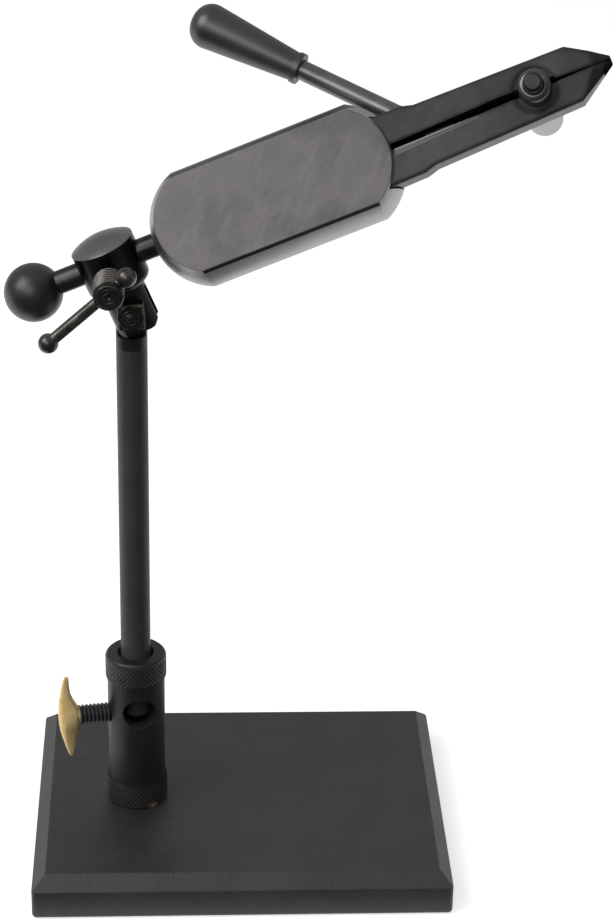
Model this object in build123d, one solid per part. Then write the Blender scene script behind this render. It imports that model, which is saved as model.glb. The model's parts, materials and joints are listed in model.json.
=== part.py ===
from build123d import *
import math
import os

os.makedirs("parts", exist_ok=True)

# A pedestal fly tying vise in millimetres. +Z is up, +X points the way the jaws do and the front is at -Y.
# The origin is the centre of the base's underside.

# Cuts and fits
overrun = 3.0
running_gap = 0.08
fixed_gap = 0.04
seat_gap = 0.3

# Pose of the head: upward tilt of the shaft, and roll of the flats towards the light
head_tilt = 22.9
head_roll = 32.3

# Base plate
base_width = 133.35
base_depth = 101.6
base_height = 14.3
base_chamfer = 4.3
base_edge_round = 1.4
stem_x = -33.9
stem_y = -2.4

# Base screw, from below
base_screw_diameter = 8.0
base_screw_grip = 9.0
base_screw_head_diameter = 13.0
base_screw_head_height = 5.0
base_screw_recess = 0.8
base_screw_key = 6.0
base_screw_key_depth = 3.0

# Stem socket
socket_diameter = 19.05
socket_waist_diameter = 18.4
socket_height = 54.8
socket_band_height = 8.6
socket_rim = 0.6
socket_floor = 12.5
mouth_diameter = 11.8
mouth_depth = 2.2
sight_hole_diameter = 10.4
sight_hole_height = 36.3
sight_hole_turn = 8.0

# Thumb screw
thumb_height = 33.0
thumb_turn = 10.0
stud_diameter = 6.35
stud_tip_gap = 0.15
stud_cover = 1.6
wing_standoff = 8.95
wing_hub_length = 5.6
wing_hub_diameter = 9.4
wing_span = 28.8
wing_width = 7.2
wing_thickness = 3.2
wing_tip = 1.2
wing_bow = 2.6

# Stem
stem_diameter = 9.525
stem_foot_height = 46.9
stem_length = 129.7
stem_foot_round = 1.0
spigot_diameter = 5.5
spigot_length = 12.0
spigot_end_gap = 0.5

# Tongue and fork
pivot_rise = 12.8
tongue_thickness = 4.0
fork_shank_diameter = 13.6
fork_end = 6.7
fork_end_round = 8.4
fork_flat = 5.6
fork_flat_top = 6.2
slot_rise = 0.6
shoulder_gap = 0.3
pivot_bolt_diameter = 4.17
pivot_head_diameter = 7.8
pivot_head_height = 2.8
pivot_head_slot_width = 1.1
pivot_head_slot_depth = 1.2
pivot_bolt_end = 0.3
square_nut_width = 8.2
square_nut_thickness = 3.2
square_nut_chamfer = 0.5
square_nut_turn = -18.4

# Collar of the knuckle
collar_diameter = 19.4
collar_above = 6.5
collar_below = 8.1
collar_dome = 2.6
collar_round = 2.2

# Rotary shaft and ball
shaft_rise = 15.5
shaft_diameter = 7.14
ball_diameter = 17.7
ball_distance = 24.9
ball_face = 7.9
shaft_depth = 18.0
set_screw_diameter = 4.0
set_screw_sink = 0.4
set_screw_inset = 12.0
set_screw_key = 2.0
set_screw_key_depth = 1.6

# Lock screw and its sliding bar
lock_thread_diameter = 5.0
lock_head_diameter = 8.3
lock_head_start = 14.5
lock_head_length = 12.0
lock_head_chamfer = 0.7
lock_tip_gap = 0.12
lock_dimple_radius = 1.2
lock_dimple_depth = 0.8
bar_diameter = 2.7
bar_setback = 3.5
bar_angle = 19.2
bar_span = 30.9
bar_ball_diameter = 5.5
bar_ball_gap = 0.1
bar_ball_depth = 2.2

# Head body
body_start = 14.35
body_length = 78.45
body_diameter = 35.8
body_rear_dome = 12.4
body_front_dome = 11.2
body_thickness = 20.8
body_flat_wall = 0.9

# Jaws, measured back from their tips
jaw_reach = 65.1
jaw_root = 20.0
jaw_thickness = 8.6
jaw_front_width = 8.15
jaw_rear_width = 8.45
jaw_shoulder_width = 9.4
jaw_shoulder_start = 57.4
jaw_runout = 3.5
jaw_bevel = 11.7
jaw_tip_width = 1.0
jaw_tip_thickness = 3.2
jaw_parting = 0.3
jaw_spread = 1.75
jaw_tip_gap = 0.2
jaw_edge_round = 0.8
groove_start = 5.0
groove_middle = 33.0
groove_end = 68.0
groove_depth = 1.25
tip_cut_start = 5.3
tip_cut_depth = 1.9
lower_tip_cut_lean = 38.0
jaw_slot_gap = 0.3
jaw_side_gap = 0.4
jaw_opening = 1.0

# Bolt, nut and adjusting knob through the jaws
bolt_setback = 23.1
bolt_drop = 0.3
bolt_diameter = 5.7
bolt_chamfer = 0.7
bolt_nut_diameter = 9.8
bolt_nut_height = 7.4
bolt_nut_chamfer = 1.0
bolt_nut_gap = 0.1
bolt_end = 4.2
spot_face_diameter = 13.2
spot_face_depth = 0.6
knob_diameter = 11.4
knob_length = 14.0
knob_chamfer = 1.2
knob_neck_diameter = 8.4
knob_neck_length = 22.0
knob_floor = 3.0
bolt_knob_gap = 0.3

# Pins that keep the jaws in the body
jaw_pin_diameter = 4.0
jaw_pin_inset = 6.0
jaw_pin_place = 4.7
jaw_pin_cap = 1.8

# Spring between the jaws, ahead of the bolt
spring_setback = 14.6
spring_radius = 1.3
spring_wire = 0.5
spring_turns = 6
spring_pitch = 1.5
spring_side_gap = 0.35
spring_end_gap = 0.2

# Cam, tongue of the body and lever
cam_lead = 12.2
cam_high = 4.4
cam_low = 3.6
cam_thickness = 3.3
cam_side_gap = 0.35
cam_end_gap = 0.6
cam_shaft_diameter = 6.0
cam_shaft_end_gap = 0.3
bracket_width = 14.0
bracket_thickness = 4.6
hub_gap = 0.4
hub_diameter = 13.0
hub_length = 6.6
hub_chamfer = 0.8
hub_screw_diameter = 3.0
hub_screw_length = 6.0
hub_screw_head_diameter = 8.0
hub_screw_head_height = 2.2
lever_angle = 46.9
lever_rod_diameter = 6.0
lever_rod_seat = 1.6
grip_distance = 47.9
grip_length = 36.4
grip_small_diameter = 8.7
grip_big_diameter = 14.8
grip_lip_diameter = 9.6
grip_lip_width = 1.8
grip_round = 5.6
grip_bore_depth = 26.0

# Worked-out radii and places
stem_radius = stem_diameter / 2
socket_radius = socket_diameter / 2
stem_top = stem_foot_height + stem_length
pivot_height = stem_top + pivot_rise
shoulder_height = pivot_height - fork_end_round - shoulder_gap
tongue_top_radius = stem_radius
collar_radius = collar_diameter / 2
shaft_radius = shaft_diameter / 2
body_end = body_start + body_length
body_radius = body_diameter / 2
half_thickness = body_thickness / 2
jaw_tip = body_end + jaw_reach
jaw_length = jaw_reach + jaw_root
jaw_front = half_thickness - body_flat_wall - jaw_slot_gap
jaw_back = jaw_front - jaw_thickness
bracket_top = jaw_back - jaw_slot_gap
bracket_bottom = bracket_top - bracket_thickness
bolt_x = jaw_tip - bolt_setback
spring_x = jaw_tip - spring_setback
cam_x = body_end + cam_lead
hub_top = bracket_bottom - hub_gap
hub_bottom = hub_top - hub_length
hub_middle = (hub_top + hub_bottom) / 2
bar_front = lock_head_start + lock_head_length - bar_setback
bar_near = lock_head_diameter / 2 + bar_ball_gap + bar_ball_diameter / 2
bar_far = bar_span - bar_near

# Frames that the pieces are drawn in
socket_frame = Pos(stem_x, stem_y, base_height)
thumb_frame = socket_frame * Pos(0, 0, thumb_height) * Rot(0, 0, 180 + thumb_turn)
knuckle_frame = Pos(stem_x, stem_y, pivot_height) * Rot(0, -head_tilt, 0)
shaft_frame = knuckle_frame * Pos(0, 0, shaft_rise)
head_frame = shaft_frame * Rot(-head_roll, 0, 0)
bar_frame = shaft_frame * Pos(0, -bar_front, 0) * Rot(0, -bar_angle, 0)
lever_frame = head_frame * Pos(cam_x, -hub_middle, 0) * Rot(0, lever_angle - 180, 0)
lower_jaw_place = Pos(jaw_tip, 0, jaw_parting - jaw_tip_gap) * Rot(0, -jaw_spread, 0)

bottom_up = (Align.CENTER, Align.CENTER, Align.MIN)


def along_z(radius, start, end):
    return Pos(0, 0, start) * Cylinder(radius, end - start, align=bottom_up)


def along_x(radius, start, end):
    return Pos(start, 0, 0) * Rot(0, 90, 0) * Cylinder(radius, end - start, align=bottom_up)


def along_front(radius, start, end):
    return Pos(0, -start, 0) * Rot(90, 0, 0) * Cylinder(radius, end - start, align=bottom_up)


def block(x_range, front_range, z_range):
    size = [high - low for low, high in (x_range, front_range, z_range)]
    middle = [(high + low) / 2 for low, high in (x_range, front_range, z_range)]
    return Pos(middle[0], -middle[1], middle[2]) * Box(*size)


def outline_xz(edges, front_start, front_end):
    face = make_face(edges)
    return Pos(0, -front_start, 0) * Rot(90, 0, 0) * extrude(face, front_end - front_start)


def save(name, *solids):
    shape = solids[0] if len(solids) == 1 else Compound(children=list(solids))
    export_step(shape, f"parts/{name}.step")


def dome_edge(radius, height):
    # A cap's arc from its rim to its top: the cap's height at half the rim's radius
    sphere = (radius ** 2 + height ** 2) / (2 * height)
    return height - sphere + math.sqrt(sphere ** 2 - (radius / 2) ** 2)


# Base and socket
def base_plate():
    plate = Box(base_width, base_depth, base_height, align=bottom_up)
    top_edges = plate.faces().sort_by(Axis.Z)[-1].edges()
    plate = chamfer(top_edges, base_chamfer)
    low_edges = plate.faces().sort_by(Axis.Z)[0].edges()
    upright_edges = plate.edges().filter_by(Axis.Z)
    plate = fillet(low_edges + upright_edges, base_edge_round)
    hole = along_z(base_screw_diameter / 2 + fixed_gap, -overrun, base_height + overrun)
    head_top = base_screw_recess + base_screw_head_height
    sink = along_z(base_screw_head_diameter / 2 + seat_gap, -overrun, head_top)
    return plate - Pos(stem_x, stem_y, 0) * (hole + sink)


def base_screw():
    head_top = base_screw_recess + base_screw_head_height
    head = along_z(base_screw_head_diameter / 2, base_screw_recess, head_top)
    shank = along_z(base_screw_diameter / 2, head_top, base_height + base_screw_grip)
    key = RegularPolygon(base_screw_key / 2, 6, major_radius=False)
    key = extrude(key, base_screw_recess + base_screw_key_depth)
    return Pos(stem_x, stem_y, 0) * (head + shank - key)


def stem_socket():
    waist = along_z(socket_waist_diameter / 2, 0, socket_height)
    lower = along_z(socket_radius, 0, socket_band_height)
    upper = along_z(socket_radius, socket_height - socket_band_height, socket_height)
    tube = chamfer((waist + lower + upper).edges().group_by(Axis.Z)[-1], socket_rim)
    bore = along_z(stem_radius + running_gap, socket_floor, socket_height + overrun)
    mouth_slope = (mouth_diameter / 2 - stem_radius) / mouth_depth
    mouth_top = mouth_diameter / 2 + mouth_slope * overrun
    mouth = Cone(stem_radius, mouth_top, mouth_depth + overrun, align=bottom_up)
    mouth = Pos(0, 0, socket_height - mouth_depth) * mouth
    screw_hole = along_z(base_screw_diameter / 2 + fixed_gap, -overrun, base_screw_grip + fixed_gap)
    sight = Pos(0, 0, sight_hole_height) * Rot(0, 0, sight_hole_turn)
    sight = sight * along_front(sight_hole_diameter / 2, 0, socket_radius + overrun)
    tube = socket_frame * (tube - bore - mouth - screw_hole - sight)
    return tube - thumb_frame * along_x(stud_diameter / 2 + running_gap, 0, socket_radius + overrun)


# Thumb screw, drawn with +X outwards from the stem
wing_start = socket_radius + wing_standoff
wing_end = wing_start + wing_hub_length


def thumb_stud():
    return thumb_frame * along_x(stud_diameter / 2, stem_radius + stud_tip_gap, wing_end - stud_cover)


def thumb_wing():
    outer = wing_end + wing_width - wing_hub_length
    inner = outer - wing_width
    tip_outer = outer - wing_bow
    tip_inner = tip_outer - wing_tip
    half_span = wing_span / 2
    edges = [
        ThreePointArc((tip_outer, half_span), (outer, 0), (tip_outer, -half_span)),
        Line((tip_outer, -half_span), (tip_inner, -half_span)),
        ThreePointArc((tip_inner, -half_span), (inner, 0), (tip_inner, half_span)),
        Line((tip_inner, half_span), (tip_outer, half_span)),
    ]
    leaf = outline_xz(edges, -wing_thickness / 2, wing_thickness / 2)
    neck = stud_diameter / 2 + wing_tip
    cone = Cone(neck, wing_hub_diameter / 2, wing_hub_length, align=bottom_up)
    cone = Pos(wing_start, 0, 0) * Rot(0, 90, 0) * cone
    bore_end = wing_end - stud_cover + fixed_gap
    bore = along_x(stud_diameter / 2 + fixed_gap, wing_start - wing_width, bore_end)
    return thumb_frame * (leaf + cone - bore)


# Stem
def stem_rod():
    rod = along_z(stem_radius, stem_foot_height, stem_top)
    rod = fillet(rod.edges().group_by(Axis.Z)[0], stem_foot_round)
    hole_floor = stem_top - spigot_length - spigot_end_gap
    hole = along_z(spigot_diameter / 2 + running_gap, hole_floor, stem_top + overrun)
    return Pos(stem_x, stem_y, 0) * (rod - hole)


def stem_tongue():
    top = pivot_height + tongue_top_radius
    stock = along_z(stem_radius, stem_top, top)
    foot = along_z(stem_radius, stem_top, shoulder_height)
    half = tongue_thickness / 2
    web = block((-stem_diameter, stem_diameter), (-half, half), (shoulder_height, pivot_height))
    web += Pos(0, 0, pivot_height) * along_front(tongue_top_radius, -half, half)
    hole = along_front(pivot_bolt_diameter / 2 + running_gap, -stem_diameter, stem_diameter)
    hole = Pos(0, 0, pivot_height) * hole
    spigot = along_z(spigot_diameter / 2, stem_top - spigot_length, stem_top)
    return Pos(stem_x, stem_y, 0) * (foot + (web & stock) - hole + spigot)


# Knuckle, drawn with the pivot at its origin and the collar's axis up
def knuckle_fork():
    low = shaft_rise - collar_below
    high = shaft_rise + collar_above
    apex = high + collar_dome
    shank_radius = fork_shank_diameter / 2
    round_share = 1 - math.sqrt(0.5)
    dome_middle = high + dome_edge(collar_radius, collar_dome)
    edges = [
        Line((0, -fork_end), (shank_radius, -fork_end)),
        Line((shank_radius, -fork_end), (shank_radius, low)),
        Line((shank_radius, low), (collar_radius - collar_round, low)),
        ThreePointArc(
            (collar_radius - collar_round, low),
            (collar_radius - collar_round * round_share, low + collar_round * round_share),
            (collar_radius, low + collar_round),
        ),
        Line((collar_radius, low + collar_round), (collar_radius, high)),
        ThreePointArc((collar_radius, high), (collar_radius / 2, dome_middle), (0, apex)),
        Line((0, apex), (0, -fork_end)),
    ]
    fork = Rot(90, 0, 0) * revolve(make_face(edges), Axis.Y)
    wide = collar_diameter
    for side in (-1, 1):
        near = sorted((side * fork_flat, side * wide))
        fork -= block((-wide, wide), near, (-wide, fork_flat_top))
    corners = block((-wide, wide), (-wide, wide), (-wide, 0)) - along_front(fork_end_round, -wide, wide)
    fork -= corners
    half_slot = tongue_thickness / 2 + running_gap
    fork -= block((-wide, wide), (-half_slot, half_slot), (-wide, tongue_top_radius + slot_rise))
    fork -= along_front(pivot_bolt_diameter / 2 + fixed_gap, -wide, wide)
    fork -= Pos(0, 0, shaft_rise) * along_x(shaft_radius + running_gap, -wide, wide)
    fork -= Pos(0, 0, shaft_rise) * along_front(lock_thread_diameter / 2 + running_gap, 0, wide)
    return knuckle_frame * fork


def pivot_bolt():
    end = fork_flat + square_nut_thickness + pivot_bolt_end
    shank = along_front(pivot_bolt_diameter / 2, -fork_flat, end)
    head = along_front(pivot_head_diameter / 2, -fork_flat - pivot_head_height, -fork_flat)
    half = pivot_head_slot_width / 2
    wide = pivot_head_diameter
    outer = -fork_flat - pivot_head_height
    slot = block((-half, half), (outer - overrun, outer + pivot_head_slot_depth), (-wide, wide))
    return knuckle_frame * (shank + head - slot)


def pivot_nut():
    half = square_nut_width / 2
    nut = block((-half, half), (fork_flat, fork_flat + square_nut_thickness), (-half, half))
    nut = chamfer(nut.faces().sort_by(Axis.Y)[0].edges(), square_nut_chamfer)
    nut -= along_front(pivot_bolt_diameter / 2 + fixed_gap, 0, fork_flat + square_nut_thickness + overrun)
    return knuckle_frame * Rot(0, -square_nut_turn, 0) * nut


# Lock screw and its bar
def lock_screw():
    head_end = lock_head_start + lock_head_length
    head = along_front(lock_head_diameter / 2, lock_head_start, head_end)
    head = chamfer(head.edges().filter_by(GeomType.CIRCLE), lock_head_chamfer)
    shank = along_front(lock_thread_diameter / 2, shaft_radius + lock_tip_gap, lock_head_start)
    slope = lock_dimple_radius / lock_dimple_depth
    dimple_top = lock_dimple_radius + slope * overrun
    dimple = Cone(0, dimple_top, lock_dimple_depth + overrun, align=bottom_up)
    dimple = Pos(0, lock_dimple_depth - head_end, 0) * Rot(90, 0, 0) * dimple
    hole = along_x(bar_diameter / 2 + running_gap, -lock_head_diameter, lock_head_diameter)
    return shaft_frame * (head + shank - dimple) - bar_frame * hole


def tommy_bar():
    overlap = bar_ball_diameter / 2 - bar_ball_depth
    return bar_frame * along_x(bar_diameter / 2, overlap - bar_far, bar_near - overlap)


def tommy_balls():
    overlap = bar_ball_diameter / 2 - bar_ball_depth
    balls = []
    for place, inward in ((bar_near, -1), (-bar_far, 1)):
        reach = sorted((place + inward * (overlap - fixed_gap), place + inward * bar_ball_diameter))
        bore = along_x(bar_diameter / 2 + fixed_gap, *reach)
        balls.append(bar_frame * (Pos(place, 0, 0) * Sphere(bar_ball_diameter / 2) - bore))
    return balls


# Rotary shaft and ball, drawn with +X towards the jaws
def rotary_shaft():
    return head_frame * along_x(shaft_radius, -ball_distance, body_start + shaft_depth)


def ball_grip():
    ball = Pos(-ball_distance, 0, 0) * Sphere(ball_diameter / 2)
    wide = ball_diameter
    ball -= block((ball_face - ball_distance, 0), (-wide, wide), (-wide, wide))
    return head_frame * (ball - along_x(shaft_radius + fixed_gap, -ball_distance - fixed_gap, 0))


# Head body
def body_stock():
    near = body_start + body_rear_dome
    far = body_end - body_front_dome
    near_middle = near - dome_edge(body_radius, body_rear_dome)
    far_middle = far + dome_edge(body_radius, body_front_dome)
    edges = [
        ThreePointArc((body_start, 0), (near_middle, body_radius / 2), (near, body_radius)),
        Line((near, body_radius), (far, body_radius)),
        ThreePointArc((far, body_radius), (far_middle, body_radius / 2), (body_end, 0)),
        Line((body_end, 0), (body_start, 0)),
    ]
    return revolve(make_face(edges), Axis.X)


def head_body():
    body = body_stock()
    for side in (-1, 1):
        beyond = sorted((side * half_thickness, side * body_diameter))
        body -= block((0, jaw_tip), beyond, (-body_diameter, body_diameter))
    half_bracket = bracket_width / 2
    bracket_depth = (bracket_bottom, bracket_top)
    bracket_start = body_end - body_front_dome
    bracket = block((bracket_start, cam_x), bracket_depth, (-half_bracket, half_bracket))
    bracket += Pos(cam_x, 0, 0) * along_front(half_bracket, bracket_bottom, bracket_top)
    slot_start = body_end - jaw_root - jaw_slot_gap
    slot_depth = (bracket_top, jaw_front + jaw_slot_gap)
    slot_width = jaw_shoulder_width + jaw_side_gap
    upper_slot = block((slot_start, jaw_tip), slot_depth, (-jaw_drop(jaw_length), jaw_parting + slot_width))
    lower_slot = block((slot_start - jaw_tip, 0), slot_depth, (-slot_width, 0))
    body = body - upper_slot - lower_jaw_place * lower_slot + bracket
    body -= along_x(shaft_radius + fixed_gap, 0, body_start + shaft_depth + fixed_gap)
    screw_x = body_start + set_screw_inset
    body -= Pos(screw_x, 0, 0) * along_front(set_screw_diameter / 2 + fixed_gap, -body_radius, 0)
    body -= Pos(cam_x, 0, 0) * along_front(cam_shaft_diameter / 2 + running_gap, -body_radius, body_radius)
    for pin in pin_places():
        body -= pin * along_front(jaw_pin_diameter / 2 + fixed_gap, -body_radius, jaw_front)
    return head_frame * body


def shaft_set_screw():
    outer = -half_thickness + set_screw_sink
    screw = along_front(set_screw_diameter / 2, outer, -shaft_radius - fixed_gap)
    key = extrude(RegularPolygon(set_screw_key / 2, 6, major_radius=False), set_screw_key_depth + overrun)
    key = Pos(0, overrun - outer, 0) * Rot(90, 0, 0) * key
    return head_frame * Pos(body_start + set_screw_inset, 0, 0) * (screw - key)


# Jaws
def jaw_drop(setback):
    # How far the lower jaw's inner face lies below the shaft's axis, at a distance back from the tip
    return setback * math.tan(math.radians(jaw_spread)) + jaw_tip_gap - jaw_parting


def jaw_blank():
    # Drawn with the tip at the origin, the root towards -X and the inner face on Z = 0
    points = [
        (0, 0),
        (0, jaw_tip_width),
        (-jaw_bevel, jaw_front_width),
        (-jaw_shoulder_start, jaw_rear_width),
        (-jaw_shoulder_start - jaw_runout, jaw_shoulder_width),
        (-jaw_length, jaw_shoulder_width),
        (-jaw_length, 0),
    ]
    blank = outline_xz(Polyline(points, close=True), jaw_back, jaw_front)
    front_edges = blank.faces().sort_by(Axis.Y)[0].edges()
    outer_edges = [edge for edge in front_edges if edge.center().Z > jaw_front_width - jaw_tip_width]
    blank = fillet(outer_edges, jaw_edge_round)
    back_depth = jaw_thickness - tip_cut_depth - jaw_tip_thickness
    back = Plane(origin=(-jaw_bevel, -jaw_back, 0), z_dir=(back_depth, jaw_bevel, 0))
    return blank - beyond_plane(back)


def beyond_plane(plane):
    return plane * Box(2 * jaw_length, 2 * jaw_length, jaw_thickness, align=bottom_up)


def tip_cut(lean):
    # The front bevel at the tip, on a line that leans back towards the outer edge
    across = (math.cos(math.radians(lean)), math.sin(math.radians(lean)))
    steep = tip_cut_depth / (tip_cut_start * across[0])
    normal = (steep * across[0], -1, steep * across[1])
    return beyond_plane(Plane(origin=(-tip_cut_start, -jaw_front, 0), z_dir=normal))


def groove():
    # A chamfer on the front inner edge, deepest at its middle
    cuts = []
    for end in (groove_start, groove_end):
        slope = groove_depth / (end - groove_middle)
        cuts.append(beyond_plane(Plane(origin=(-end, -jaw_front, 0), z_dir=(slope, -1, -1))))
    return cuts[0] & cuts[1]


def pin_places():
    x = body_end - jaw_root + jaw_pin_inset
    setback = jaw_tip - x
    return [Pos(x, 0, jaw_parting + jaw_pin_place), Pos(x, 0, -jaw_drop(setback) - jaw_pin_place)]


def jaw_cuts():
    bolt = Pos(bolt_x, 0, -bolt_drop)
    cuts = bolt * along_front(bolt_diameter / 2 + running_gap, jaw_back - overrun, jaw_front + overrun)
    cuts += bolt * along_front(spot_face_diameter / 2, jaw_front - spot_face_depth, jaw_front + overrun)
    reach = cam_high + cam_side_gap
    cam_top = jaw_back + cam_end_gap + cam_thickness + jaw_slot_gap
    cuts += block((cam_x - reach, cam_x + reach), (jaw_back - overrun, cam_top), (-reach, reach))
    pocket = spring_half_length() + spring_end_gap
    spring = Pos(spring_x, -(jaw_front + jaw_back) / 2, -bolt_drop)
    cuts += spring * along_z(spring_radius + spring_wire / 2 + spring_side_gap, -pocket, pocket)
    pin_x = body_end - jaw_root + jaw_pin_inset
    pin_play = (bolt_x - pin_x) * math.tan(math.radians(jaw_opening)) + seat_gap
    hole_radius = jaw_pin_diameter / 2 + pin_play
    for pin in pin_places():
        cuts += pin * along_front(hole_radius, jaw_back - overrun, jaw_front - jaw_pin_cap)
    return cuts


def upper_jaw():
    blank = jaw_blank() - tip_cut(0) - groove()
    return head_frame * (Pos(jaw_tip, 0, jaw_parting) * blank - jaw_cuts())


def lower_jaw():
    blank = mirror(jaw_blank() - tip_cut(lower_tip_cut_lean), about=Plane.XY)
    return head_frame * (lower_jaw_place * blank - jaw_cuts())


def jaw_pins():
    top = jaw_front - jaw_pin_cap - jaw_slot_gap
    blank = along_front(jaw_pin_diameter / 2, -half_thickness, top)
    return [head_frame * pin * blank for pin in pin_places()]


# Bolt through the jaws, with a collar nut in front and an adjusting knob behind
nut_seat = jaw_front - spot_face_depth + bolt_nut_gap
knob_top = jaw_back - bolt_nut_gap
knob_bottom = knob_top - knob_neck_length - knob_length
bolt_frame = head_frame * Pos(bolt_x, 0, -bolt_drop)


def jaw_bolt():
    low = knob_bottom + knob_floor + bolt_knob_gap
    shank = along_front(bolt_diameter / 2, low, nut_seat + bolt_nut_height + bolt_end)
    shank = chamfer(shank.edges().group_by(Axis.Y)[0], bolt_chamfer)
    return bolt_frame * shank


def jaw_nut():
    nut = along_front(bolt_nut_diameter / 2, nut_seat, nut_seat + bolt_nut_height)
    nut = chamfer(nut.edges().group_by(Axis.Y)[0], bolt_nut_chamfer)
    nut_end = nut_seat + bolt_nut_height + overrun
    nut -= along_front(bolt_diameter / 2 + fixed_gap, nut_seat - overrun, nut_end)
    return bolt_frame * nut


def jaw_knob():
    neck = along_front(knob_neck_diameter / 2, knob_top - knob_neck_length, knob_top)
    knob = along_front(knob_diameter / 2, knob_bottom, knob_top - knob_neck_length)
    knob = chamfer(knob.edges().filter_by(GeomType.CIRCLE), knob_chamfer)
    bore = along_front(bolt_diameter / 2 + running_gap, knob_bottom + knob_floor, knob_top + overrun)
    return bolt_frame * (neck + knob - bore)


# Spring between the jaws: one round wire along a helix of tangent arcs
def spring_half_length():
    return spring_turns * spring_pitch / 2 + spring_wire / 2


def jaw_spring():
    rise = spring_pitch / (2 * math.pi)
    start_height = -spring_turns * spring_pitch / 2

    def place(turn):
        angle = 2 * math.pi * turn
        height = start_height + spring_pitch * turn
        point = Vector(spring_radius * math.cos(angle), spring_radius * math.sin(angle), height)
        heading = Vector(-spring_radius * math.sin(angle), spring_radius * math.cos(angle), rise)
        return point, heading.normalized()

    arcs = []
    quarters = spring_turns * 4
    for quarter in range(quarters):
        start, leaving = place(quarter / 4)
        end, arriving = place((quarter + 1) / 4)
        chord = end - start
        turning = 2 * (1 - leaving.dot(arriving))
        along = chord.dot(leaving + arriving)
        handle = (math.sqrt(along ** 2 + turning * chord.dot(chord)) - along) / turning
        first = start + leaving * handle
        second = end - arriving * handle
        join = (first + second) * 0.5
        arcs.append(TangentArc(start, join, tangent=leaving))
        arcs.append(TangentArc(join, end, tangent=(second - first).normalized()))
    start, leaving = place(0)
    section = Plane(origin=start, z_dir=leaving) * Circle(spring_wire / 2)
    wire = sweep(section, path=Wire(arcs))
    points = [place(step / 24)[0] for step in range(spring_turns * 24 + 1)]
    apart = min((p - q).length for i, p in enumerate(points) for q in points[i + 12:])
    print(f"spring: least gap to itself {apart - spring_wire:.2f} mm")
    return head_frame * Pos(spring_x, -(jaw_front + jaw_back) / 2, -bolt_drop) * wire


# Cam and lever. The lever's pieces are drawn with +X along its rod
cam_low_face = jaw_back + cam_end_gap


def cam_shaft():
    cam = Rot(90, 0, 0) * extrude(Ellipse(cam_low, cam_high), cam_thickness)
    cam = Pos(0, -cam_low_face, 0) * cam
    shaft = along_front(cam_shaft_diameter / 2, hub_bottom + cam_shaft_end_gap, cam_low_face)
    hole_end = hub_bottom + hub_screw_length + fixed_gap
    shaft -= along_front(hub_screw_diameter / 2 + fixed_gap, hub_bottom - overrun, hole_end)
    return head_frame * Pos(cam_x, 0, 0) * (cam + shaft)


def lever_hub():
    hub = along_front(hub_diameter / 2, hub_bottom, hub_top)
    hub = chamfer(hub.edges().filter_by(GeomType.CIRCLE), hub_chamfer)
    hub -= along_front(cam_shaft_diameter / 2 + fixed_gap, hub_bottom - overrun, hub_top + overrun)
    seat = cam_shaft_diameter / 2 + lever_rod_seat - fixed_gap
    rod_hole = along_x(lever_rod_diameter / 2 + fixed_gap, seat, hub_diameter)
    return head_frame * Pos(cam_x, 0, 0) * hub - lever_frame * rod_hole


def hub_screw():
    head = along_front(hub_screw_head_diameter / 2, hub_bottom - hub_screw_head_height, hub_bottom)
    shank = along_front(hub_screw_diameter / 2, hub_bottom, hub_bottom + hub_screw_length)
    half = pivot_head_slot_width / 2
    outer = hub_bottom - hub_screw_head_height
    wide = hub_screw_head_diameter
    slot = block((-half, half), (outer - overrun, outer + hub_screw_head_height / 2), (-wide, wide))
    return head_frame * Pos(cam_x, 0, 0) * (head + shank - slot)


def lever_rod():
    start = cam_shaft_diameter / 2 + lever_rod_seat
    return lever_frame * along_x(lever_rod_diameter / 2, start, grip_distance + grip_bore_depth)


def lever_grip():
    end = grip_distance + grip_length
    lip_end = grip_distance + grip_lip_width
    small = grip_small_diameter / 2
    big = grip_big_diameter / 2
    lip = grip_lip_diameter / 2
    points = [(end, 0), (grip_distance, 0), (grip_distance, lip), (lip_end, lip), (lip_end, small)]
    points.append((end, big))
    grip = revolve(make_face(Polyline(points, close=True)), Axis.X)
    end_edge = grip.edges().filter_by(GeomType.CIRCLE).sort_by(Axis.X)[-1]
    grip = fillet(end_edge, grip_round)
    bore_end = grip_distance + grip_bore_depth + fixed_gap
    bore = along_x(lever_rod_diameter / 2 + fixed_gap, grip_distance - overrun, bore_end)
    return lever_frame * (grip - bore)


save("base_plate", base_plate())
save("base_screw", base_screw())
save("stem_socket", stem_socket())
save("thumb_stud", thumb_stud())
save("thumb_wing", thumb_wing())
save("stem_rod", stem_rod())
save("stem_tongue", stem_tongue())
save("knuckle_fork", knuckle_fork())
save("pivot_bolt", pivot_bolt())
save("pivot_nut", pivot_nut())
save("lock_screw", lock_screw())
save("tommy_bar", tommy_bar())
save("tommy_balls", *tommy_balls())
save("rotary_shaft", rotary_shaft())
save("ball_grip", ball_grip())
save("head_body", head_body())
save("shaft_set_screw", shaft_set_screw())
save("upper_jaw", upper_jaw())
save("lower_jaw", lower_jaw())
save("jaw_pins", *jaw_pins())
save("jaw_bolt", jaw_bolt())
save("jaw_nut", jaw_nut())
save("jaw_knob", jaw_knob())
save("jaw_spring", jaw_spring())
save("cam_shaft", cam_shaft())
save("lever_hub", lever_hub())
save("hub_screw", hub_screw())
save("lever_rod", lever_rod())
save("lever_grip", lever_grip())
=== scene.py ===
import bmesh
import bpy
import json
import math
from mathutils import Matrix, Vector


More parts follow.
